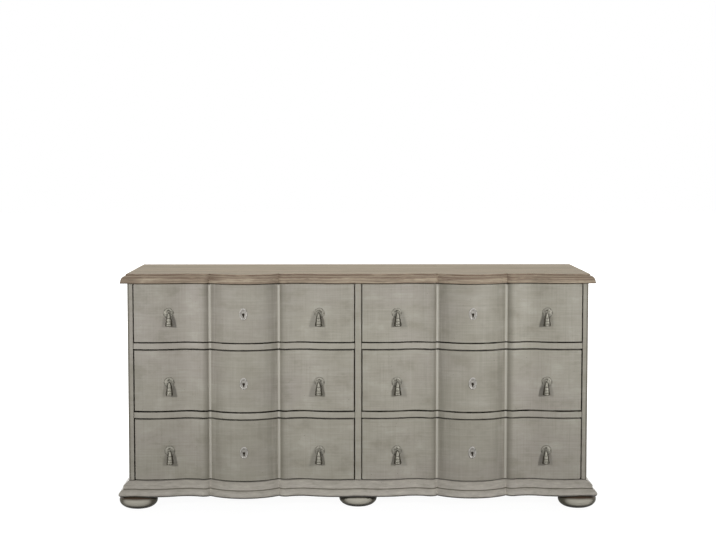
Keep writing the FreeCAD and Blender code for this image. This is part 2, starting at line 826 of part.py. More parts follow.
top_panel()
base()
bun_feet()
for panel, sign in (("left_side_panel", -1), ("right_side_panel", 1)):
    side_panel(panel, sign)
stiles()
for rail_name, rail_row in (("upper", "top"), ("lower", "middle")):
    for rail_column in COLUMNS:
        rail(f"{rail_name}_{rail_column}_rail", rail_column, rail_row)
case_boards()
runners_and_stops()
drawers()
doc.recompute()

# Every object has to be sound before any sub-part is written
for item in doc.Objects:
    if "Invalid" in item.State or "Error" in item.State:
        raise RuntimeError(f"{item.Label} is not sound: {item.State}")
shapes = {label: Part.getShape(item) for label, item in parts.items()}
for label, shape in shapes.items():
    if shape.isNull() or not shape.isValid() or not shape.Solids:
        raise RuntimeError(f"{label} has no valid solid")

os.makedirs("parts", exist_ok=True)
for label, shape in shapes.items():
    shape.exportStep(f"parts/{label}.step")
print(len(shapes), "sub-parts written")
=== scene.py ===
import json
import math

import bmesh
import bpy
from mathutils import Matrix, Vector

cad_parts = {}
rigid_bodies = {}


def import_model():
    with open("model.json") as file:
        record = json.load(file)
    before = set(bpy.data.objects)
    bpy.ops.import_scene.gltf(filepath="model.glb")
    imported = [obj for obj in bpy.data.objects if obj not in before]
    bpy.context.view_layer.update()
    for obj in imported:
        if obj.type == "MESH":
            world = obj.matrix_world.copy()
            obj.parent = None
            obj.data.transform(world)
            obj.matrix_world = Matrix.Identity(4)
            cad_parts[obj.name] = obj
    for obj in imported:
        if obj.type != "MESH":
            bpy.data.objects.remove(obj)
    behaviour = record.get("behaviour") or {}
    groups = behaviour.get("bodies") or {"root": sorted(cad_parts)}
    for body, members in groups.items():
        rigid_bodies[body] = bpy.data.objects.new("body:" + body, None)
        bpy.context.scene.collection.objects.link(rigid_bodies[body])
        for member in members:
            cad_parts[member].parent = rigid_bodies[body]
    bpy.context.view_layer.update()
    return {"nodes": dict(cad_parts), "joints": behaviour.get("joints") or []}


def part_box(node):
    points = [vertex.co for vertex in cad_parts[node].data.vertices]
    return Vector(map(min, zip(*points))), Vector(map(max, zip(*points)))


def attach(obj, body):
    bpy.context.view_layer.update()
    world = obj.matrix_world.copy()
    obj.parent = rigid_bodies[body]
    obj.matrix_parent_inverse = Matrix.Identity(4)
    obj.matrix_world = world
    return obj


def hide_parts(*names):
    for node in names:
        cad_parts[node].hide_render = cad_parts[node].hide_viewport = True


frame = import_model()

# Six-drawer serpentine dresser, in metres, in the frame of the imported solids.
MM = 0.001
MERGE = 0.01 * MM
ROWS = ("top", "middle", "bottom")
COLUMNS = ("left", "right")
DRAWERS = [f"{row}_{column}_drawer" for row in ROWS for column in COLUMNS]

# Planes and middles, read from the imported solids
HALF_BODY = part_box("right_side_panel")[1].x
STILE_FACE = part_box("centre_stile")[0].y
FRONT_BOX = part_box("top_right_drawer_front")
BAY_CENTRE = (FRONT_BOX[0].x + FRONT_BOX[1].x) / 2
HALF_FRONT = (FRONT_BOX[1].x - FRONT_BOX[0].x) / 2
CREASE_SHARE = 0.3146
CREASE = CREASE_SHARE * HALF_FRONT


# Materials
class Finish:
    """A node material: each call adds nodes and gives back the socket to go on from."""

    def __init__(self, name):
        self.material = bpy.data.materials.new(name)
        self.material.use_nodes = True
        self.tree = self.material.node_tree
        self.surface = self.tree.nodes["Principled BSDF"]

    def node(self, kind, **settings):
        made = self.tree.nodes.new(f"ShaderNode{kind}")
        for name, setting in settings.items():
            setattr(made, name, setting)
        return made

    def feed(self, socket, source):
        """Link a socket to another one, or set its plain value."""
        if isinstance(source, bpy.types.NodeSocket):
            self.tree.links.new(source, socket)
        elif isinstance(source, tuple) and socket.type == "RGBA":
            socket.default_value = (*source, 1)
        else:
            socket.default_value = source

    def fed(self, made, *sources):
        """First output of a node whose inputs are fed in order."""
        for socket, source in zip(made.inputs, sources):
            self.feed(socket, source)
        return made.outputs[0]

    def named(self, made, **sources):
        """First output of a node whose inputs are fed by name."""
        for name, source in sources.items():
            self.feed(made.inputs[name.replace("_", " ")], source)
        return made.outputs[0]

    def place(self):
        return self.node("TexCoord").outputs["Object"]

    def noise(self, stretch, detail, roughness, place=None):
        """Noise with a number of features to the metre along each axis."""
        mapped = self.named(self.node("Mapping"), Vector=place or self.place(), Scale=stretch)
        made = self.node("TexNoise")
        self.named(made, Vector=mapped, Scale=1, Detail=detail, Roughness=roughness)
        return made.outputs["Fac"]

    def math(self, operation, first, second=0):
        return self.fed(self.node("Math", operation=operation), first, second)

    def size(self, source):
        return self.math("ABSOLUTE", source)

    def scaled(self, source, factor, start):
        return self.math("ADD", self.math("MULTIPLY", source, factor), start)

    def joined(self, *sources):
        return self.fed(self.node("CombineXYZ"), *sources)

    def vector(self, operation, first, second):
        return self.fed(self.node("VectorMath", operation=operation), first, second)

    def between(self, source, low, high, most=1):
        """Smooth rise from 0 at low to the most at high."""
        made = self.node("MapRange", interpolation_type="SMOOTHSTEP")
        return self.named(made, Value=source, From_Min=low, From_Max=high, To_Max=most)

    def near(self, source, line, reach, core, most=1):
        """Smooth rise from 0 at a reach off a line to the most at its core."""
        return self.between(self.size(self.math("SUBTRACT", source, line)), reach, core, most)

    def hump(self, source, rise, fall):
        return self.math("MULTIPLY", self.between(source, *rise), self.between(source, *fall))

    def mix(self, share, first, second):
        made = self.node("Mix", data_type="RGBA")
        self.feed(made.inputs["Factor"], share)
        colours = [socket for socket in made.inputs if socket.type == "RGBA"]
        self.feed(colours[0], first)
        self.feed(colours[1], second)
        return next(socket for socket in made.outputs if socket.type == "RGBA")

    def layered(self, colour, *layers):
        """Colour under layers of tone, each with its source and the rise of its share."""
        for source, rise, tone in layers:
            colour = self.mix(self.between(source, *rise), colour, tone)
        return colour

    def split(self, source, name):
        made = self.node("SeparateXYZ")
        self.feed(made.inputs[0], source)
        return made.outputs[name]

    def axis(self, name):
        return self.split(self.place(), name)

    def facing(self, name):
        return self.split(self.node("NewGeometry").outputs["Normal"], name)

    def past_crease(self):
        """Distance along X past the nearest crease, away from the bow."""
        offset = self.math("SUBTRACT", self.size(self.axis("X")), BAY_CENTRE)
        return self.math("SUBTRACT", self.size(offset), CREASE)

    def bump(self, height, strength, distance):
        made = self.named(self.node("Bump"), Height=height, Strength=strength, Distance=distance)
        self.feed(self.surface.inputs["Normal"], made)

    def set(self, **sources):
        self.named(self.surface, **sources)
        return self.material


# Tones of the paint, then the darks that also paint shade and shadow
PAINT = (0.312, 0.294, 0.244)
PAINT_PALE = (0.41, 0.39, 0.338)
PAINT_DARK = (0.22, 0.205, 0.164)
PAINT_ROSY = (0.318, 0.292, 0.255)
# Pale tone of scuffs, and of the painted highlight on the feet's fronts
FOOT_PALE = (0.53, 0.505, 0.43)
PAINT_MAUVE = (0.47, 0.436, 0.39)
# Glaze, also the tone of painted shade in creases, along edges, on the feet's flanks and in the base's quirk
GLAZE_AND_SHADE = (0.105, 0.096, 0.07)
# Brown of the painted shadow under the base, on the feet
SHADOW_BROWN = (0.06, 0.036, 0.022)
# Black of the painted shade in the gaps round the drawers, at the feet's floor line and along the base's
# lower arris
SHADE_BLACK = (0.02, 0.017, 0.012)
# Noises: features to the metre along each axis, detail and roughness
PATCHES = ((2.6, 3, 4.2), 2, 0.5)
CLOUDS = ((9, 9, 14), 4, 0.6)
BOW_STREAKS = ((60, 60, 3), 4, 0.6)
SCUFFS = ((26, 26, 110), 4, 0.7)
SPECKS = ((210, 210, 210), 1, 0.5)
GAP_SHADE_WEAR = ((14, 14, 26), 4, 0.7)
# Broad and fine strokes: features to the metre, then the detail and roughness of each
LEVEL_STROKES = ((5, 5, 170), (14, 14, 620))
UPRIGHT_STROKES = ((170, 170, 5), (620, 620, 14))
BROAD_STROKE = (5, 0.65)
FINE_STROKE = (4, 0.7)
# Rises: where each starts and ends, and the share it reaches if that is not the whole
PATCH_RISE = (0.4, 0.7)
PALE_RISE = (0.5, 0.72)
DARK_RISE = (0.5, 0.28)
BRISTLE_RISE = (0.52, 0.36, 0.25)
SPECK_RISE = (0.77, 0.82)
GAP_SHADE_WEAR_RISE = (0.44, 0.64, 0.6)
# Rises for the foot's painted light: how far it faces the front, its shaded flanks, its highlighted middle,
# and painted shadow under the base and above the floor
FOOT_FRONT = (0.4, 1)
FOOT_FLANK_RISE = (0.8, 0.15, 0.85)
FOOT_PALE_RISE = (0.35, 0.9, 0.9)
FOOT_SHADE_RISE = (35 * MM, 46 * MM, 0.95)
FOOT_FLOOR_RISE = (21 * MM, 9 * MM, 0.98)
SWELL_RISE, SWELL_FALL = (3 * MM, 7 * MM), (36 * MM, 8 * MM)
BOW_RISE, BOW_FALL = (-3 * MM, -8 * MM), (-62 * MM, -9 * MM)
BOW_STREAK_RISE = (0.35, 0.6)
BOW_DARK_RISE = (-5 * MM, -45 * MM, 0.25)
BEAD_RISE = (5.6 * MM, 3.2 * MM, 0.85)
STILE_EDGE_RISE = (HALF_BODY - 9 * MM, HALF_BODY - 4 * MM, 0.85)
STILE_FRONT_RISE = (-0.4, -0.9)
SCUFF_PALE_RISE = (0.5, 0.7, 0.6)
SCUFF_DARK_RISE = (0.5, 0.32, 0.7)
# Pale and dark shares of the clouds, the strokes and the strokes across them
CLOUD_SHARES = (0.6, 0.7)
BRUSHED_SHARES = (0.3, 0.3)
CROSSED_SHARES = (0.22, 0.28)
# Shares of the painted shade, laid as glaze, on the swell and on the bow
FRONT_CREASE_SHADE = (0.5, 0.3)
BASE_CREASE_SHADE = (0.2, 0.1)
RAIL_PALENESS = 0.12
BASE_MAUVENESS = 0.62
BASE_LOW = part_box("front_base_moulding")[0].z
BASE_QUIRK = BASE_LOW + 28.5 * MM
# Lines of painted shade along the lower arris and in the quirk: height, half width and tone
BASE_SHADE_LINES = ((BASE_LOW, 8 * MM, SHADE_BLACK), (BASE_QUIRK, 2.6 * MM, GLAZE_AND_SHADE))
BASE_LINE_SHARE = 0.85
BASE_LINE_CORE = 1 / 3
# Strength and distance of the bump, factor and start of the roughness
PAINT_BUMP = (0.25, 0.3 * MM)
PAINT_ROUGHNESS = (0.2, 0.45)
PAINT_SPECULAR = 0.35
DULL_SPECULAR = 0.1
GAP_SHADE_ROUGHNESS = 0.7


def foot_painted_light(finish, colour):
    """Painted light on a foot: a painted highlight on its middle, painted shade on its flanks, and painted
    shadow under the base and above the floor.
    """
    front = finish.between(finish.size(finish.facing("Y")), *FOOT_FRONT)
    height = finish.axis("Z")
    return finish.layered(
        colour, (front, FOOT_FLANK_RISE, GLAZE_AND_SHADE), (front, FOOT_PALE_RISE, FOOT_PALE),
        (height, FOOT_SHADE_RISE, SHADOW_BROWN), (height, FOOT_FLOOR_RISE, SHADE_BLACK),
    )


def crease_glaze_and_shade(finish, colour, kind):
    """Painted shade beside each crease, laid as glaze on the swell and as streaked darkening on the bow, and
    a pale bead along it that is partly rubbed paint and partly painted highlight.
    """
    past = finish.past_crease()
    swell_share, bow_share = BASE_CREASE_SHADE if kind == "base" else FRONT_CREASE_SHADE
    # Painted shade, laid as glaze, on the swell side of the crease
    swell = finish.hump(past, SWELL_RISE, SWELL_FALL)
    colour = finish.mix(finish.math("MULTIPLY", swell, swell_share), colour, GLAZE_AND_SHADE)
    if kind == "front":
        # Painted shade on the front where the bow turns in towards the crease
        colour = finish.layered(colour, (past, BOW_DARK_RISE, PAINT_DARK))
    # Streaked glaze and painted shade on the bow beside the crease
    streaked = finish.between(finish.noise(*BOW_STREAKS), *BOW_STREAK_RISE, bow_share)
    bow = finish.math("MULTIPLY", finish.hump(past, BOW_RISE, BOW_FALL), streaked)
    colour = finish.mix(bow, colour, GLAZE_AND_SHADE)
    # Pale bead along the crease: rubbed paint and painted highlight
    return finish.layered(colour, (finish.size(past), BEAD_RISE, PAINT_PALE))


def stile_edge_shade(finish, colour):
    """Painted shade along the outer arrises of the front, laid on as glaze."""
    edge = finish.between(finish.size(finish.axis("X")), *STILE_EDGE_RISE)
    front = finish.between(finish.facing("Y"), *STILE_FRONT_RISE)
    return finish.mix(finish.math("MULTIPLY", edge, front), colour, GLAZE_AND_SHADE)


def base_scuffs_and_shade(finish, colour):
    """Rosier scuffed paint, with painted shade along the lower arris and in the quirk."""
    colour = finish.mix(BASE_MAUVENESS, colour, PAINT_MAUVE)
    scuffs = finish.noise(*SCUFFS)
    colour = finish.layered(colour, (scuffs, SCUFF_PALE_RISE, FOOT_PALE), (scuffs, SCUFF_DARK_RISE, PAINT))
    # Painted shade along the lower arris and in the quirk
    for line, half, line_shade in BASE_SHADE_LINES:
        near = finish.near(finish.axis("Z"), line, half, half * BASE_LINE_CORE, BASE_LINE_SHARE)
        colour = finish.mix(near, colour, line_shade)
    return colour


def paint(name, strokes, kind):
    """Warm grey paint brushed along one direction, with the wear and the painted light and shade of its kind.
    """
    finish = Finish(name)
    broad, fine = strokes
    brushed, crossed = (finish.noise(stroke, *BROAD_STROKE) for stroke in (broad, broad[::-1]))
    bristles = finish.noise(fine, *FINE_STROKE)
    colour = finish.mix(finish.between(finish.noise(*PATCHES), *PATCH_RISE), PAINT, PAINT_ROSY)
    for source, (pale, dark) in (
        (finish.noise(*CLOUDS), CLOUD_SHARES), (brushed, BRUSHED_SHARES), (crossed, CROSSED_SHARES),
    ):
        colour = finish.layered(
            colour, (source, (*PALE_RISE, pale), PAINT_PALE), (source, (*DARK_RISE, dark), PAINT_DARK),
        )
    colour = finish.layered(colour, (bristles, BRISTLE_RISE, PAINT_DARK))
    colour = foot_painted_light(finish, colour) if kind == "foot" else crease_glaze_and_shade(finish, colour, kind)
    if kind == "rail":
        colour = finish.mix(RAIL_PALENESS, colour, PAINT_PALE)
    elif kind == "stile":
        colour = stile_edge_shade(finish, colour)
    elif kind == "base":
        colour = base_scuffs_and_shade(finish, colour)
    colour = finish.layered(colour, (finish.noise(*SPECKS), SPECK_RISE, GLAZE_AND_SHADE))
    finish.bump(finish.math("ADD", bristles, brushed), *PAINT_BUMP)
    gloss = DULL_SPECULAR if kind == "foot" else PAINT_SPECULAR
    roughness = finish.scaled(bristles, *PAINT_ROUGHNESS)
    return finish.set(Base_Color=colour, Roughness=roughness, Specular_IOR_Level=gloss)


def gap_shade():
    """Near-black finish along the arrises round the drawers and on the gap faces: painted shade of the gaps,
    worn through in places.
    """
    finish = Finish("dark_wax")
    colour = finish.layered(SHADE_BLACK, (finish.noise(*GAP_SHADE_WEAR), GAP_SHADE_WEAR_RISE, PAINT_DARK))
    return finish.set(Base_Color=colour, Roughness=GAP_SHADE_ROUGHNESS, Specular_IOR_Level=DULL_SPECULAR)


# Oak of the top: tones, noises and rises as for the paint
OAK_PALE = (0.527, 0.446, 0.333)
OAK = (0.437, 0.37, 0.275)
OAK_BROWN = (0.19, 0.137, 0.10)
OAK_DARK = (0.095, 0.068, 0.046)
OAK_FIGURE = ((1.7, 26, 60), 6, 0.62)
OAK_STREAKS = ((3.5, 120, 190), 5, 0.7)
OAK_PORES = ((16, 650, 650), 2, 0.5)
OAK_WEAR = ((11, 4, 45), 3, 0.6)
LEVEL_RISE = (0.75, 0.97)
FACE_FIGURE_RISE = (0.44, 0.62)
FACE_STREAK_RISE = (0.5, 0.3, 0.5)
EDGE_STREAK_RISE = (0.42, 0.6, 0.75)
EDGE_FIGURE_RISE = (0.52, 0.7, 0.5)
EDGE_DARK_RISE = (0.42, 0.3, 0.5)
WORN_PALE_RISE = (0.52, 0.7, 0.5)
WORN_DARK_RISE = (0.48, 0.3, 0.45)
BROWN_WORN_RISE = (0.62, 0.42, 0.45)
BROWN_LEAST = 0.5
PORE_RISE = (0.42, 0.3, 0.6)
# Depths under the fillet where the edge turns plain, and where it turns brown
PLAIN_DEPTHS, PLAIN_SHARE = (10 * MM, 18 * MM), 0.25
BROWN_DEPTHS = (12 * MM, 4 * MM)
# Half width and share of the dark lines of painted shade along the underside and under the fillet
LOW_LINE = (4 * MM, 0.85)
FILLET_LINE = (2.6 * MM, 0.2)
OAK_LINE_CORE = 1 / 4
TOP_FILLET = 7 * MM
BOARD_WIDTH = 0.13
BOARD_SHIFT = 0.83
# How far a side looks along X rather than Y, and how little the edge's grain changes across its run
END_LEAD = 0.25
EDGE_SPREAD = 0.15
OAK_BUMP = (0.35, 0.5 * MM)
OAK_ROUGHNESS = (0.25, 0.6)
OAK_SPECULAR = 0.2


def oak_place(finish, above):
    """Coordinates with the grain along X: shifted for each board of the face and turned along the ends."""
    board = finish.math("FLOOR", finish.math("DIVIDE", finish.axis("Y"), BOARD_WIDTH))
    along = finish.math("MULTIPLY", board, finish.math("MULTIPLY", above, BOARD_SHIFT))
    swell = finish.math("GREATER_THAN", finish.past_crease(), 0)
    across = finish.math("MULTIPLY", swell, finish.math("SUBTRACT", 1, above))
    sideways, forward = (finish.size(finish.facing(name)) for name in "XY")
    ends = finish.math("GREATER_THAN", finish.math("SUBTRACT", sideways, forward), END_LEAD)
    turned = finish.joined(*(finish.axis(name) for name in "YXZ"))
    run = finish.mix(ends, finish.place(), turned)
    spread = finish.joined(1, finish.math("MAXIMUM", above, EDGE_SPREAD), 1)
    return finish.vector("MULTIPLY", finish.vector("ADD", run, finish.joined(along, across, 0)), spread)


def oak():
    """Weathered oak: silvery boards, with a browner moulded edge whose grain follows each side."""
    finish = Finish("weathered_oak")
    above = finish.between(finish.facing("Z"), *LEVEL_RISE)
    place = oak_place(finish, above)
    figure, streaks, pores, worn = (
        finish.noise(*grain, place) for grain in (OAK_FIGURE, OAK_STREAKS, OAK_PORES, OAK_WEAR)
    )
    face = finish.layered(OAK, (figure, FACE_FIGURE_RISE, OAK_PALE), (streaks, FACE_STREAK_RISE, OAK_BROWN))
    low, high = (corner.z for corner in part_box("top_panel"))
    height, fillet = finish.axis("Z"), high - TOP_FILLET
    plain, browner = ([fillet - depth for depth in depths] for depths in (PLAIN_DEPTHS, BROWN_DEPTHS))
    edge = finish.layered(
        OAK_BROWN, (streaks, EDGE_STREAK_RISE, OAK), (figure, EDGE_FIGURE_RISE, OAK_PALE),
        (streaks, EDGE_DARK_RISE, OAK_DARK), (worn, WORN_PALE_RISE, OAK_PALE),
        (worn, WORN_DARK_RISE, OAK_DARK), (height, (*plain, PLAIN_SHARE), OAK),
    )
    kept = finish.math("ADD", finish.between(worn, *BROWN_WORN_RISE), BROWN_LEAST)
    brown = finish.math("MULTIPLY", finish.between(height, *browner), kept)
    edge = finish.mix(brown, edge, OAK_BROWN)
    # Painted shade: dark lines along the underside and under the fillet
    for line, (half, share) in ((low, LOW_LINE), (fillet, FILLET_LINE)):
        edge = finish.mix(finish.near(height, line, half, half * OAK_LINE_CORE, share), edge, OAK_DARK)
    colour = finish.layered(finish.mix(above, edge, face), (pores, PORE_RISE, OAK_DARK))
    finish.bump(finish.math("ADD", streaks, pores), *OAK_BUMP)
    roughness = finish.scaled(streaks, *OAK_ROUGHNESS)
    return finish.set(Base_Color=colour, Roughness=roughness, Specular_IOR_Level=OAK_SPECULAR)


# Softwood inside, with its grain along X or Y
PINE = (0.56, 0.42, 0.265)
PINE_LATE = (0.40, 0.265, 0.145)
PINE_GRAIN = (1.4, 38, 38)
PINE_LINES = (2.2, 260, 260)
DEEP_GRAIN = (38, 1.4, 38)
DEEP_LINES = (260, 2.2, 260)
GRAIN_DETAIL = (5, 0.6)
LINE_DETAIL = (3, 0.6)
GRAIN_RISE = (0.42, 0.64)
LINE_RISE = (0.5, 0.34, 0.5)
PINE_BUMP = (0.2, 0.3 * MM)
PINE_ROUGHNESS = 0.2
PINE_SPECULAR = 0.3


def raw_wood(name, grain, lines):
    """Plain sanded softwood, its grain along the axis with the fewest features."""
    finish = Finish(name)
    lines = finish.noise(lines, *LINE_DETAIL)
    grain = finish.noise(grain, *GRAIN_DETAIL)
    colour = finish.layered(PINE, (grain, GRAIN_RISE, PINE_LATE), (lines, LINE_RISE, PINE_LATE))
    finish.bump(lines, *PINE_BUMP)
    roughness = finish.math("ADD", lines, PINE_ROUGHNESS)
    return finish.set(Base_Color=colour, Roughness=roughness, Specular_IOR_Level=PINE_SPECULAR)


# Pewter of the fittings: a tone and a paler one for each kind
DROP_PEWTER = ((0.165, 0.157, 0.131), (0.275, 0.265, 0.226))
ROSETTE_PEWTER = ((0.165, 0.157, 0.132), (0.25, 0.24, 0.205))
PLATE_PEWTER = ((0.27, 0.259, 0.247), (0.42, 0.405, 0.372))
PEWTER_DARK = (0.05, 0.044, 0.032)
BLOTCHES = ((120, 120, 120), 4, 0.65)
SCRATCHES = ((900, 900, 300), 2, 0.6)
SCRATCH_RISE = (0.4, 0.62)
BLOTCH_RISE = (0.52, 0.34, 0.7)
FLANK_RISE = (0.42, 0.72, 0.97)
DISH_RISE = (-1.9 * MM, -0.6 * MM, 0.45)
# Height and half width of the dark grooves of a drop, in millimetres from the pivot; the last one darkens the
# foot's rim and underside as painted shade
DROP_GROOVES = ((-24.7, 1.7), (-36.8, 1.7), (-46.7, 1.5), (-55, 4))
PEWTER_BUMP = (0.2, 0.2 * MM)
PEWTER_ROUGHNESS = (0.3, 0.42)
PEWTER_METALLIC = 0.8


def pewter(name, tones, kind, grooves=()):
    """Aged pewter, pale in scratches and dark in blotches, in grooves and in a plate's dish where polish
    misses it; a drop's flanks are darkened as painted shade and reflection.
    """
    finish = Finish(name)
    blotches, scratches = finish.noise(*BLOTCHES), finish.noise(*SCRATCHES)
    colour = finish.mix(finish.between(scratches, *SCRATCH_RISE), *tones)
    colour = finish.layered(colour, (blotches, BLOTCH_RISE, PEWTER_DARK))
    for height, half in grooves:
        colour = finish.mix(finish.near(finish.axis("Z"), height * MM, half * MM, 0), colour, PEWTER_DARK)
    if kind == "drop":
        # Painted shade and reflection darken the drop's flanks
        colour = finish.layered(colour, (finish.size(finish.facing("X")), FLANK_RISE, PEWTER_DARK))
    elif kind == "plate":
        colour = finish.layered(colour, (finish.axis("Y"), DISH_RISE, PEWTER_DARK))
    finish.bump(finish.math("ADD", blotches, scratches), *PEWTER_BUMP)
    roughness = finish.scaled(blotches, *PEWTER_ROUGHNESS)
    return finish.set(Base_Color=colour, Roughness=roughness, Metallic=PEWTER_METALLIC)


HOLE_DARK = (0.012, 0.01, 0.008)
HOLE_PALE = (0.035, 0.028, 0.02)
HOLE_GRAIN = ((300, 300, 900), 2, 0.5)
HOLE_ROUGHNESS = 0.9


def keyhole_shade():
    """Floor of the shallow keyhole: near-black painted shade of the hole, with a trace of grain."""
    finish = Finish("keyhole_inside")
    colour = finish.mix(finish.noise(*HOLE_GRAIN), HOLE_DARK, HOLE_PALE)
    return finish.set(Base_Color=colour, Roughness=HOLE_ROUGHNESS, Specular_IOR_Level=DULL_SPECULAR)


FINISHES = {
    "level": paint("grey_paint_level", LEVEL_STROKES, "front"),
    "rail": paint("grey_paint_rail", LEVEL_STROKES, "rail"),
    "base": paint("grey_paint_base", LEVEL_STROKES, "base"),
    "foot": paint("grey_paint_foot", LEVEL_STROKES, "foot"),
    "upright": paint("grey_paint_upright", UPRIGHT_STROKES, "side"),
    "stile": paint("grey_paint_stile", UPRIGHT_STROKES, "stile"),
    "gap_shade": gap_shade(),
    "oak": oak(),
    "pine": raw_wood("sanded_softwood", PINE_GRAIN, PINE_LINES),
    "pine_deep": raw_wood("sanded_softwood_deep", DEEP_GRAIN, DEEP_LINES),
    "rosette": pewter("aged_pewter", ROSETTE_PEWTER, "rosette"),
    "plate": pewter("aged_pewter_plate", PLATE_PEWTER, "plate"),
    "drop": pewter("aged_pewter_drop", DROP_PEWTER, "drop", DROP_GROOVES),
    "dark": keyhole_shade(),
}


# Geometry helpers
SHARP = 38
FITTING_SHARP = 50
FLAT_ANGLE = 0.2


def added(name, data):
    """New object in the scene."""
    made = bpy.data.objects.new(name, data)
    bpy.context.scene.collection.objects.link(made)
    return made


def piece(name, mesh, body, node, place=None):
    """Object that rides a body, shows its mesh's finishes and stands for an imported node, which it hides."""
    made = added(name, mesh)
    if place is not None:
        made.matrix_world = place
    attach(made, body)
    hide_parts(node)
    return made


def finished_mesh(shape, name, finishes, sharp=SHARP):
    """Mesh from a bmesh, smooth but for edges sharper than an angle in degrees."""
    bmesh.ops.remove_doubles(shape, verts=shape.verts, dist=MERGE)
    bmesh.ops.dissolve_degenerate(shape, dist=MERGE, edges=shape.edges)
    bmesh.ops.recalc_face_normals(shape, faces=shape.faces)
    mesh = bpy.data.meshes.new(name)
    shape.to_mesh(mesh)
    shape.free()
    for finish in finishes:
        mesh.materials.append(FINISHES[finish])
    mesh.shade_smooth()
    mesh.set_sharp_from_angle(angle=math.radians(sharp))
    return mesh


def even_normals(made):
    """Keep broad flat faces flat beside rounded arrises."""
    weighted = made.modifiers.new("even_normals", "WEIGHTED_NORMAL")
    weighted.keep_sharp = True


def solid_shape(node):
    """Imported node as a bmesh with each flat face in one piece."""
    shape = bmesh.new()
    shape.from_mesh(frame["nodes"][node].data)
    bmesh.ops.remove_doubles(shape, verts=shape.verts, dist=MERGE)
    flat = math.radians(FLAT_ANGLE)
    bmesh.ops.dissolve_limit(shape, angle_limit=flat, verts=shape.verts, edges=shape.edges)
    return shape


def islands(node):
    """Lowest and highest corner of each separate solid of a node, from left to right."""
    shape = solid_shape(node)
    left = set(shape.verts)
    boxes = []
    while left:
        group = [left.pop()]
        for vert in group:
            for edge in vert.link_edges:
                other = edge.other_vert(vert)
                if other in left:
                    left.remove(other)
                    group.append(other)
        corners = list(zip(*(vert.co for vert in group)))
        boxes.append((Vector(map(min, corners)), Vector(map(max, corners))))
    shape.free()
    return sorted(boxes, key=lambda box: (box[0].x, box[0].y))


def loop_of(shape, points):
    return [shape.verts.new(point) for point in points]


def band(shape, lower, upper, index=0):
    """Faces between two loops that have the same count."""
    for spot in range(len(lower)):
        corners = (lower[spot - 1], lower[spot], upper[spot], upper[spot - 1])
        shape.faces.new(corners).material_index = index


def bands(shape, rings):
    """Faces between rings of points, one after another."""
    loops = [loop_of(shape, ring) for ring in rings]
    for lower, upper in zip(loops, loops[1:]):
        band(shape, lower, upper)
    return loops


def ring_surface(shape, rings):
    """Closed surface through rings of points."""
    loops = bands(shape, rings)
    shape.faces.new(loops[0])
    shape.faces.new(loops[-1])


def turns_of(sides):
    return [2 * math.pi * side / sides for side in range(sides)]


def circle(radius, along, sides):
    """Ring of points about Z."""
    return [Vector((radius * math.cos(turn), radius * math.sin(turn), along)) for turn in turns_of(sides)]


def arc(centre, radii, start, end, steps):
    """Points of an elliptical arc, by angles in degrees."""
    turns = [math.radians(start + (end - start) * step / steps) for step in range(steps + 1)]
    return [(centre[0] + radii[0] * math.cos(turn), centre[1] + radii[1] * math.sin(turn)) for turn in turns]


def flattened(points, share):
    """Points of an arc, moved a share of the way to its chord."""
    first, last = Vector(points[0]), Vector(points[-1])
    chord = [first.lerp(last, step / (len(points) - 1)) for step in range(len(points))]
    return [tuple(Vector(point).lerp(straight, share)) for point, straight in zip(points, chord)]


def extruded(shape, outline, start, end, easing):
    """Plate in the YZ plane, from one X to another, with eased edges."""
    middle = Vector((0, *(sum(places) / len(outline) for places in zip(*outline))))
    rings = []
    for x, inset in ((start, easing), (start + easing, 0), (end - easing, 0), (end, easing)):
        ring = []
        for y, z in outline:
            spoke = Vector((0, y, z)) - middle
            shrunk = middle + spoke * max(0, 1 - inset / max(spoke.length, inset))
            ring.append(Vector((x, shrunk.y, shrunk.z)))
        rings.append(ring)
    ring_surface(shape, rings)


# Boards with rounded arrises
BOARD_EASING = 1.2 * MM
STILE_EASING = 2.4 * MM
RAIL_EASING = 1.6 * MM
FRONT_EASING = 2.4 * MM
BOX_EASING = 0.8 * MM
EASING_SEGMENTS = 3
ROUND_PROFILE = 0.5
ARRIS_ANGLE = 50
SQUARE = 0.99
# Places of the finishes of a board
ROUNDED, BEHIND = 1, 2


def is_square(face):
    return max(abs(face.normal.z), abs(face.normal.x)) > SQUARE


def faces_back(face):
    return face.normal.y > SQUARE


def eased(node, body, finishes, easing, lined=False):
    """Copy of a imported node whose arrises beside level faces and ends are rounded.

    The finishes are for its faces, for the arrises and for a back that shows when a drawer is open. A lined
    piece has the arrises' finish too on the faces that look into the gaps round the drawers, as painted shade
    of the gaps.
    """
    shape = solid_shape(node)
    rounded = min(ROUNDED, len(finishes) - 1)
    backed = len(finishes) > BEHIND
    for face in shape.faces:
        inside = all(abs(vert.co.x) < HALF_BODY - MERGE for vert in face.verts)
        if lined and inside and is_square(face):
            face.material_index = rounded
        elif backed and faces_back(face):
            face.material_index = BEHIND
    arrises = []
    for edge in shape.edges:
        if not edge.is_manifold or edge.calc_face_angle() < math.radians(ARRIS_ANGLE):
            continue
        behind = backed and any(faces_back(face) for face in edge.link_faces)
        if not behind and any(is_square(face) for face in edge.link_faces):
            arrises.append(edge)
    bmesh.ops.bevel(
        shape, geom=arrises, offset=easing, segments=EASING_SEGMENTS, profile=ROUND_PROFILE, affect="EDGES",
        material=rounded, clamp_overlap=True,
    )
    mesh = finished_mesh(shape, f"{node}_eased", finishes)
    even_normals(piece(f"{node}_eased", mesh, body, node))


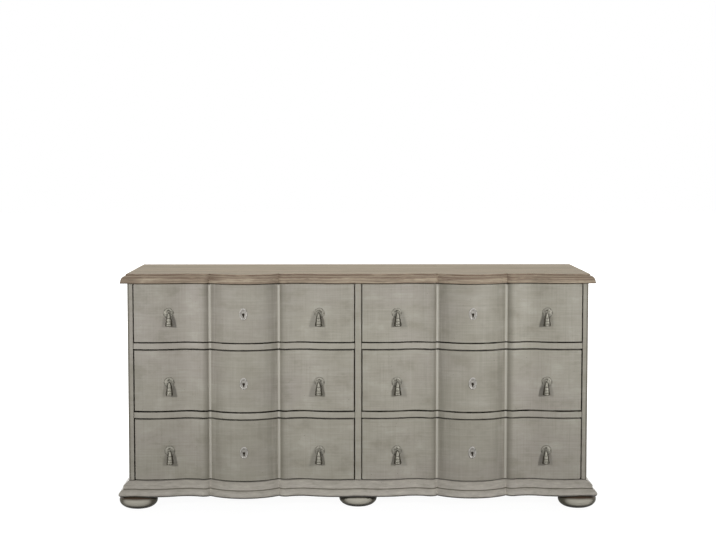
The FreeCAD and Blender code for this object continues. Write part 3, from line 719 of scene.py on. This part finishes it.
def case_boards():
    for node in ("left_side_panel", "right_side_panel"):
        eased(node, "case", ("upright",), BOARD_EASING)
    # Stiles and rails take the near-black finish on their arrises and gap faces, as painted shade of the gaps
    for node in ("corner_stiles", "centre_stile"):
        eased(node, "case", ("stile", "gap_shade"), STILE_EASING, lined=True)
    for height in ("upper", "lower"):
        for column in COLUMNS:
            eased(f"{height}_{column}_rail", "case", ("rail", "gap_shade"), RAIL_EASING, lined=True)
    for node in ("back_panel", "bottom_panel", "back_base_rail"):
        eased(node, "case", ("pine",), BOX_EASING)
    for node in ("centre_partition", "drawer_runners", "drawer_stops"):
        eased(node, "case", ("pine_deep",), BOX_EASING)


def drawer_boards(drawer):
    # The front's arrises take the near-black finish, as painted shade of the gaps round the drawer
    eased(f"{drawer}_front", drawer, ("level", "gap_shade", "pine"), FRONT_EASING)
    for part, finish in (("sides", "pine_deep"), ("back", "pine"), ("bottom", "pine")):
        eased(f"{drawer}_{part}", drawer, (finish,), BOX_EASING)


# Mouldings that follow the serpentine front
FRONT_ZONE = 30 * MM
ARRIS = 0.9 * MM
ARRIS_STEPS = 2
PROFILE_STEPS = 8
QUIRK = 1.5 * MM
TOP_LIP = 6 * MM
TOP_LIP_STEP = 1.6 * MM
TOP_STEP = 20 * MM
BASE_BEVEL = 6 * MM
BASE_LIP = 12 * MM
BASE_OVOLO = (15.6 * MM, 17 * MM)
BASE_FILLET = 12 * MM
BASE_SLANT = 20 * MM
OVOLO_FLATNESS = 0.5
SLANT_FLATNESS = 0.9


def undersides(node):
    """Outline of each flat underside of a node, in order."""
    shape = solid_shape(node)
    floor = min(vert.co.z for vert in shape.verts)
    faces = [face for face in shape.faces if all(abs(vert.co.z - floor) < MERGE for vert in face.verts)]
    outlines = [[vert.co.copy() for vert in face.verts] for face in faces]
    shape.free()
    return outlines


def moved_out(point, step, height):
    """Point of a moulding's outline, moved out by a step on the sides and forward on the front."""
    side = step * math.copysign(1, point.x) if abs(point.x) > HALF_BODY + MERGE else 0
    forward = step if point.y < STILE_FACE + FRONT_ZONE else 0
    return Vector((point.x + side, point.y - forward, height))


def moulding(node, finish, profile):
    """Moulding ruled through its underside's outline at each step of a profile of projections and heights."""
    shape = bmesh.new()
    for outline in undersides(node):
        rings = [[moved_out(point, step, height) for point in outline] for step, height in profile]
        ring_surface(shape, rings)
    mesh = finished_mesh(shape, f"{node}_moulded", (finish,))
    even_normals(piece(f"{node}_moulded", mesh, "case", node))


def top_profile():
    """Beaded lip, ovolo, quirk and fillet of the top's edge, as steps in from the underside's outline."""
    low, high = (corner.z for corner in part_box("top_panel"))
    lip, fillet = low + TOP_LIP, high - TOP_FILLET
    bead, ovolo = TOP_LIP / 2, TOP_STEP - QUIRK
    profile = arc((-bead, low + bead), (bead, bead), -90, 60, PROFILE_STEPS)
    profile += arc((-ovolo, lip), (ovolo - TOP_LIP_STEP, fillet - lip), 0, 90, PROFILE_STEPS)
    profile += [(-TOP_STEP - QUIRK, fillet), (-TOP_STEP - QUIRK, fillet + QUIRK), (-TOP_STEP, fillet + QUIRK)]
    profile += arc((-TOP_STEP - ARRIS, high - ARRIS), (ARRIS, ARRIS), 0, 90, ARRIS_STEPS)
    return profile


def base_profile():
    """Bevel, lip, flat ovolo, quirk, fillet and slant of the base, as steps out from the underside."""
    low, high = (corner.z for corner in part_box("front_base_moulding"))
    lip = low + BASE_LIP
    ledge = lip + BASE_OVOLO[1]
    slant = ledge + BASE_FILLET
    inner = BASE_BEVEL - BASE_OVOLO[0]
    ovolo = arc((inner, lip), (BASE_OVOLO[0], BASE_OVOLO[1] - QUIRK), 0, 90, PROFILE_STEPS)
    rise = arc((inner - BASE_SLANT, slant), (BASE_SLANT, high - slant), 0, 90, PROFILE_STEPS)
    profile = [(0, low)] + arc((BASE_BEVEL - ARRIS, low + BASE_BEVEL), (ARRIS, ARRIS), -45, 0, ARRIS_STEPS)
    profile += flattened(ovolo, OVOLO_FLATNESS)
    profile += [(inner - QUIRK, ledge - QUIRK), (inner - QUIRK, ledge), (inner, ledge)]
    profile += flattened(rise, SLANT_FLATNESS)
    return profile


def mouldings():
    moulding("top_panel", "oak", top_profile())
    moulding("front_base_moulding", "base", base_profile())
    moulding("side_base_mouldings", "base", base_profile())


# Turned feet
FOOT_SIDES = 64
BELLY_SHARE = 31 / 51
NECK_SHARE = 59 / 72
BOWL_SHARE = 46 / 72


def foot_profile(radius, height):
    """Round belly that draws in to the floor and to the neck under the base."""
    belly, neck, bowl = BELLY_SHARE * height, NECK_SHARE * radius, BOWL_SHARE * radius
    rise, inset = height - belly, radius - neck
    shoulder = (rise**2 + inset**2) / (2 * inset)
    turn = math.degrees(math.asin(rise / shoulder))
    lower = arc((radius - bowl, belly), (bowl, belly), -90, 0, 2 * PROFILE_STEPS)
    return lower + arc((radius - shoulder, belly), (shoulder, shoulder), 0, turn, PROFILE_STEPS)[1:]


def feet():
    for number, (low, high) in enumerate(islands("bun_feet"), start=1):
        centre = (low + high) / 2
        shape = bmesh.new()
        profile = foot_profile((high.x - low.x) / 2, high.z)
        ring_surface(shape, [circle(radius, along, FOOT_SIDES) for radius, along in profile])
        bmesh.ops.translate(shape, verts=shape.verts, vec=(centre.x, centre.y, 0))
        mesh = finished_mesh(shape, f"bun_foot_{number}", ("foot",))
        piece(f"bun_foot_{number}", mesh, "case", "bun_feet")


# Drop pulls, drawn about the pivot with X along the pin, Y to the back and Z up
TURNED_SIDES = 40
STANDOFF = 15.5 * MM
POST_RADIUS = 4.4 * MM
POST_END = 5.6 * MM
EYE_RADIUS = 3.6 * MM
EYE_HALF = 2 * MM
EAR_INNER = 2.45 * MM
EAR_OUTER = 4.45 * MM
EAR_HALF = 3.1 * MM
NECK_DROP = 5.6 * MM
PIN_RADIUS = 1.5 * MM
RIVET_RADIUS = 2.2 * MM
RIVET_RISE = 0.9 * MM
SMALL_EASING = 0.4 * MM
ROSETTE_DROP = 7 * MM
# Collar and chamfer of the post, in millimetres: how wide, and where the collar starts, narrows and ends
POST_STEP = 1
COLLAR = (2, 4, 5.5)
# Radius and height of each turning of the rosette, in millimetres from its back
ROSETTE_TURNING = (
    (20, 0), (20, 0.8), (19.5, 1.6), (18.6, 2), (17.6, 1.7), (17, 1.2), (16.2, 1.3), (13, 2.6), (10, 3.7),
    (8.4, 4.1), (7.9, 4.0), (7.5, 4.5), (6.6, 5.2), (5.0, 5.7), (2.5, 6), (0.4, 6),
)
# Radius and drop of each turning of a pull, in millimetres below the pivot
DROP_TURNING = (
    (3.6, 5.6), (4.8, 6.1), (5.2, 7.2), (5.0, 8.6), (5.7, 11), (7.0, 15), (8.2, 20), (8.9, 22.9), (9.3, 23.8),
    (8.5, 24.4), (8.5, 25), (9.5, 25.6), (10.0, 27), (10.7, 30), (11.4, 34.4), (11.6, 35.8), (10.8, 36.5),
    (10.8, 37.1), (11.8, 37.8), (12.2, 40), (13.0, 45), (13.1, 45.8), (12.4, 46.4), (12.4, 47), (13.2, 47.6),
    (13.9, 51), (14.1, 53), (13.8, 54.3), (13, 55), (11.2, 54.6), (9.6, 53), (6, 51), (1, 50.4),
)


def turning(shape, levels, turn):
    """Turned form from radii and places along Z in millimetres, laid over by a matrix."""
    rings = [circle(radius * MM, along * MM, TURNED_SIDES) for radius, along in levels]
    ring_surface(shape, [[turn @ point for point in ring] for ring in rings])


def rosette_mesh():
    """Stepped rosette, its post and the rounded eye at the pivot."""
    shape = bmesh.new()
    forward = Matrix.Translation((0, STANDOFF, 0)) @ Matrix.Rotation(math.radians(90), 4, "X")
    turning(shape, ROSETTE_TURNING, Matrix.Translation((0, 0, -ROSETTE_DROP)) @ forward)
    end, post = (STANDOFF - POST_END) / MM, POST_RADIUS / MM
    radii = (post + POST_STEP, post + POST_STEP, post, post, post - POST_STEP)
    turning(shape, tuple(zip(radii, (*COLLAR, end - POST_STEP, end))), forward)
    outline = arc((0, 0), (EYE_RADIUS, EYE_RADIUS), 90, 270, 2 * PROFILE_STEPS)
    outline += [(POST_END + EYE_HALF, -EYE_RADIUS), (POST_END + EYE_HALF, EYE_RADIUS)]
    extruded(shape, outline, -EYE_HALF, EYE_HALF, SMALL_EASING)
    return finished_mesh(shape, "rosette", ("rosette",), FITTING_SHARP)


def pull_mesh():
    """Banded drop with a hollowed foot, two ears, the pin and its rivet heads."""
    shape = bmesh.new()
    turning(shape, DROP_TURNING, Matrix.Rotation(math.radians(180), 4, "X"))
    outline = arc((0, EAR_HALF / 4), (EAR_HALF, EAR_HALF), 0, 180, 2 * PROFILE_STEPS)
    outline += [(-EAR_HALF, -NECK_DROP), (-EAR_HALF / 2, -NECK_DROP - SMALL_EASING)]
    outline += [(EAR_HALF / 2, -NECK_DROP - SMALL_EASING), (EAR_HALF, -NECK_DROP)]
    for start in (-EAR_OUTER, EAR_INNER):
        extruded(shape, outline, start, start + EAR_OUTER - EAR_INNER, SMALL_EASING)
    across = Matrix.Rotation(math.radians(90), 4, "Y")
    dome = arc((EAR_OUTER, 0), (RIVET_RISE, RIVET_RADIUS), 90, 10, PROFILE_STEPS)
    half = [(PIN_RADIUS, 0), (PIN_RADIUS, EAR_OUTER)] + [(radius, along) for along, radius in dome]
    levels = [(radius, -along) for radius, along in reversed(half[1:])] + half
    turning(shape, [(radius / MM, along / MM) for radius, along in levels], across)
    return finished_mesh(shape, "drop_pull", ("drop",), FITTING_SHARP)


# Escutcheons
OVAL_SIDES = 72
KEY_RADIUS = 5 * MM
KEY_SLOT = (5 * MM, 15 * MM)
KEY_DROP = 2 * MM
SKIRT = 0.8 * MM
# Place of the finish inside the keyhole
HOLLOW = 1
# Share of the oval and of the thickness at each step from the back to the dished face
RIM_SHARES = (
    (1, 0), (1, 0.6), (0.97, 0.88), (0.92, 1), (0.86, 0.93), (0.8, 0.66), (0.73, 0.36), (0.65, 0.2),
    (0.56, 0.14),
)


def plate_box(drawer):
    """Lowest and highest corner of the escutcheon, which is between the rosettes."""
    _, middle, _ = islands(f"{drawer}_plates")
    return middle


def keyhole_reach(turn):
    """Distance from the keyhole's round to its edge, at an angle."""
    x, z = math.cos(turn), math.sin(turn)
    half, length = KEY_SLOT[0] / 2, KEY_SLOT[1]
    if z < 0 and abs(x) * length < half * -z:
        return length / -z
    if z < 0 and abs(x) * KEY_RADIUS < half:
        return half / abs(x)
    return KEY_RADIUS


def keyhole(depth):
    """Outline of the keyhole at a depth along Y."""
    ring = [Vector((math.cos(t), 0, math.sin(t))) * keyhole_reach(t) for t in turns_of(OVAL_SIDES)]
    return [point - Vector((0, 0, KEY_DROP)) + Vector((0, depth, 0)) for point in ring]


def escutcheon_mesh():
    """Oval plate on the XZ plane with a raised rim and a dished face that a keyhole goes through."""
    low, high = plate_box("top_left_drawer")
    half_width, half_height, thickness = (high.x - low.x) / 2, (high.z - low.z) / 2, high.y - low.y
    turns = turns_of(OVAL_SIDES)
    shape = bmesh.new()
    rings = []
    for share, rise in RIM_SHARES:
        depth = SKIRT if rise == 0 else -rise * thickness
        ring = [(half_width * share * math.cos(t), depth, half_height * share * math.sin(t)) for t in turns]
        rings.append(ring)
    rings.append(keyhole(-RIM_SHARES[-1][1] * thickness))
    loops = bands(shape, rings)
    shape.faces.new(loops[0])
    well = loop_of(shape, keyhole(-SMALL_EASING / 2))
    band(shape, loops[-1], well, HOLLOW)
    shape.faces.new(well).material_index = HOLLOW
    return finished_mesh(shape, "escutcheon", ("plate", "dark"), FITTING_SHARP)


def fittings():
    rosette, pull, escutcheon = rosette_mesh(), pull_mesh(), escutcheon_mesh()
    for joint in frame["joints"]:
        if joint["type"] != "hinge":
            continue
        drawer, child = joint["parent"], joint["child"]
        across, up = -Vector(joint["axis"]), Vector((0, 0, 1))
        turn = Matrix((across, up.cross(across), up)).transposed().to_4x4()
        place = Matrix.Translation(joint["pos_m"]) @ turn
        for mesh, body, node in ((rosette, drawer, f"{drawer}_plates"), (pull, child, child)):
            piece(child.replace("pull", mesh.name), mesh, body, node, place)
    for drawer in DRAWERS:
        low, high = plate_box(drawer)
        place = Matrix.Translation(((low.x + high.x) / 2, high.y, (low.z + high.z) / 2))
        piece(f"{drawer}_escutcheon", escutcheon, drawer, f"{drawer}_plates", place)


# Stage
FLOOR_REACH = 30
FLOOR_TONE = (0.28, 0.28, 0.275)
FLOOR_GLOW = 1.6
SHADOW_REACH = (0.9, 1.6)
SHADOW_SHARE = 0.4
SKY = 0.06
LAMP_PLACE = (2.3, -3.5, 1.35)
LAMP_AIM = (0.5, -0.25, 0.71)
LAMP_SIZE = 0.3
LAMP_POWERS = {-1: 7.9, 1: 8.5}
LAMP_SPREAD = 52
OPEN_SPREAD = 180
BACK_LAMP_PLACE = (2.8, 2.6, 1.5)
BACK_LAMP_AIM = (0.5, 0.2, 0.5)
BACK_LAMP_SIZE = 1.2
BACK_LAMP_POWER = 60
OVERHEAD_PLACE = (0, 0.3, 3)
OVERHEAD_AIM = (0, 0, 0.9)
OVERHEAD_SIZE = 1.4
OVERHEAD_POWER = 17.5
CAMERA_PLACE = (-0.051, -5.973, 1.327)
CAMERA_TILT = -0.07342
CAMERA_TURN = -0.00877
CAMERA_LENS = 77.4


def seen_directly(tree):
    """1 for rays from the camera, and for what metal and glass show."""
    path = tree.nodes.new("ShaderNodeLightPath")
    share = path.outputs["Is Camera Ray"]
    for kind in ("Is Glossy Ray", "Is Transmission Ray"):
        most = tree.nodes.new("ShaderNodeMath")
        most.operation = "MAXIMUM"
        tree.links.new(share, most.inputs[0])
        tree.links.new(path.outputs[kind], most.inputs[1])
        share = most.outputs[0]
    return share


def floor():
    """Floor that looks white, with a soft shadow round the feet."""
    finish = Finish("pale_floor")
    material = finish.set(Base_Color=FLOOR_TONE, Roughness=1, Specular_IOR_Level=0)
    glow = finish.named(finish.node("Emission"), Strength=FLOOR_GLOW)
    away = finish.node("VectorMath", operation="LENGTH")
    finish.feed(away.inputs[0], finish.place())
    start, end = SHADOW_REACH
    white = finish.named(
        finish.node("MapRange"), Value=away.outputs["Value"], From_Min=start, From_Max=end,
        To_Min=1 - SHADOW_SHARE,
    )
    share = finish.math("MULTIPLY", seen_directly(finish.tree), white)
    blend = finish.fed(finish.node("MixShader"), share, finish.surface.outputs[0], glow)
    finish.feed(finish.tree.nodes["Material Output"].inputs["Surface"], blend)
    mesh = bpy.data.meshes.new("floor")
    corners = [(x * FLOOR_REACH, y * FLOOR_REACH, 0) for x, y in ((-1, -1), (1, -1), (1, 1), (-1, 1))]
    mesh.from_pydata(corners, [], [(0, 1, 2, 3)])
    mesh.materials.append(material)
    made = added("floor", mesh)


def world():
    """Sky that looks white but lights little."""
    made = bpy.data.worlds.new("studio")
    bpy.context.scene.world = made
    made.use_nodes = True
    tree = made.node_tree
    ground = tree.nodes["Background"]
    strength = tree.nodes.new("ShaderNodeMapRange")
    strength.inputs["To Min"].default_value = SKY
    strength.inputs["To Max"].default_value = 1
    tree.links.new(seen_directly(tree), strength.inputs["Value"])
    tree.links.new(strength.outputs["Result"], ground.inputs["Strength"])
    ground.inputs["Color"].default_value = (1, 1, 1, 1)


def lamp(name, place, aim, power, extent, spread=OPEN_SPREAD):
    """Square soft lamp turned to a point."""
    light = bpy.data.lights.new(name, "AREA")
    light.energy = power
    light.size = extent
    light.spread = math.radians(spread)
    made = added(name, light)
    made.location = place
    made.rotation_mode = "QUATERNION"
    made.rotation_quaternion = (Vector(aim) - Vector(place)).to_track_quat("-Z", "Y")


def lamps():
    for side, word in ((-1, "left"), (1, "right")):
        place, aim, back_place, back_aim = (
            (side * x, y, z) for x, y, z in (LAMP_PLACE, LAMP_AIM, BACK_LAMP_PLACE, BACK_LAMP_AIM)
        )
        lamp(f"{word}_lamp", place, aim, LAMP_POWERS[side], LAMP_SIZE, LAMP_SPREAD)
        lamp(f"{word}_back_lamp", back_place, back_aim, BACK_LAMP_POWER, BACK_LAMP_SIZE)
    lamp("overhead_lamp", OVERHEAD_PLACE, OVERHEAD_AIM, OVERHEAD_POWER, OVERHEAD_SIZE)


def camera():
    made = added("camera", bpy.data.cameras.new("camera"))
    made.location = CAMERA_PLACE
    made.rotation_euler = (math.pi / 2 + CAMERA_TILT, 0, CAMERA_TURN)
    made.data.lens = CAMERA_LENS
    bpy.context.scene.camera = made


case_boards()
for name in DRAWERS:
    drawer_boards(name)
mouldings()
feet()
fittings()

floor()
world()
lamps()
camera()
bpy.context.scene.view_settings.view_transform = "Standard"
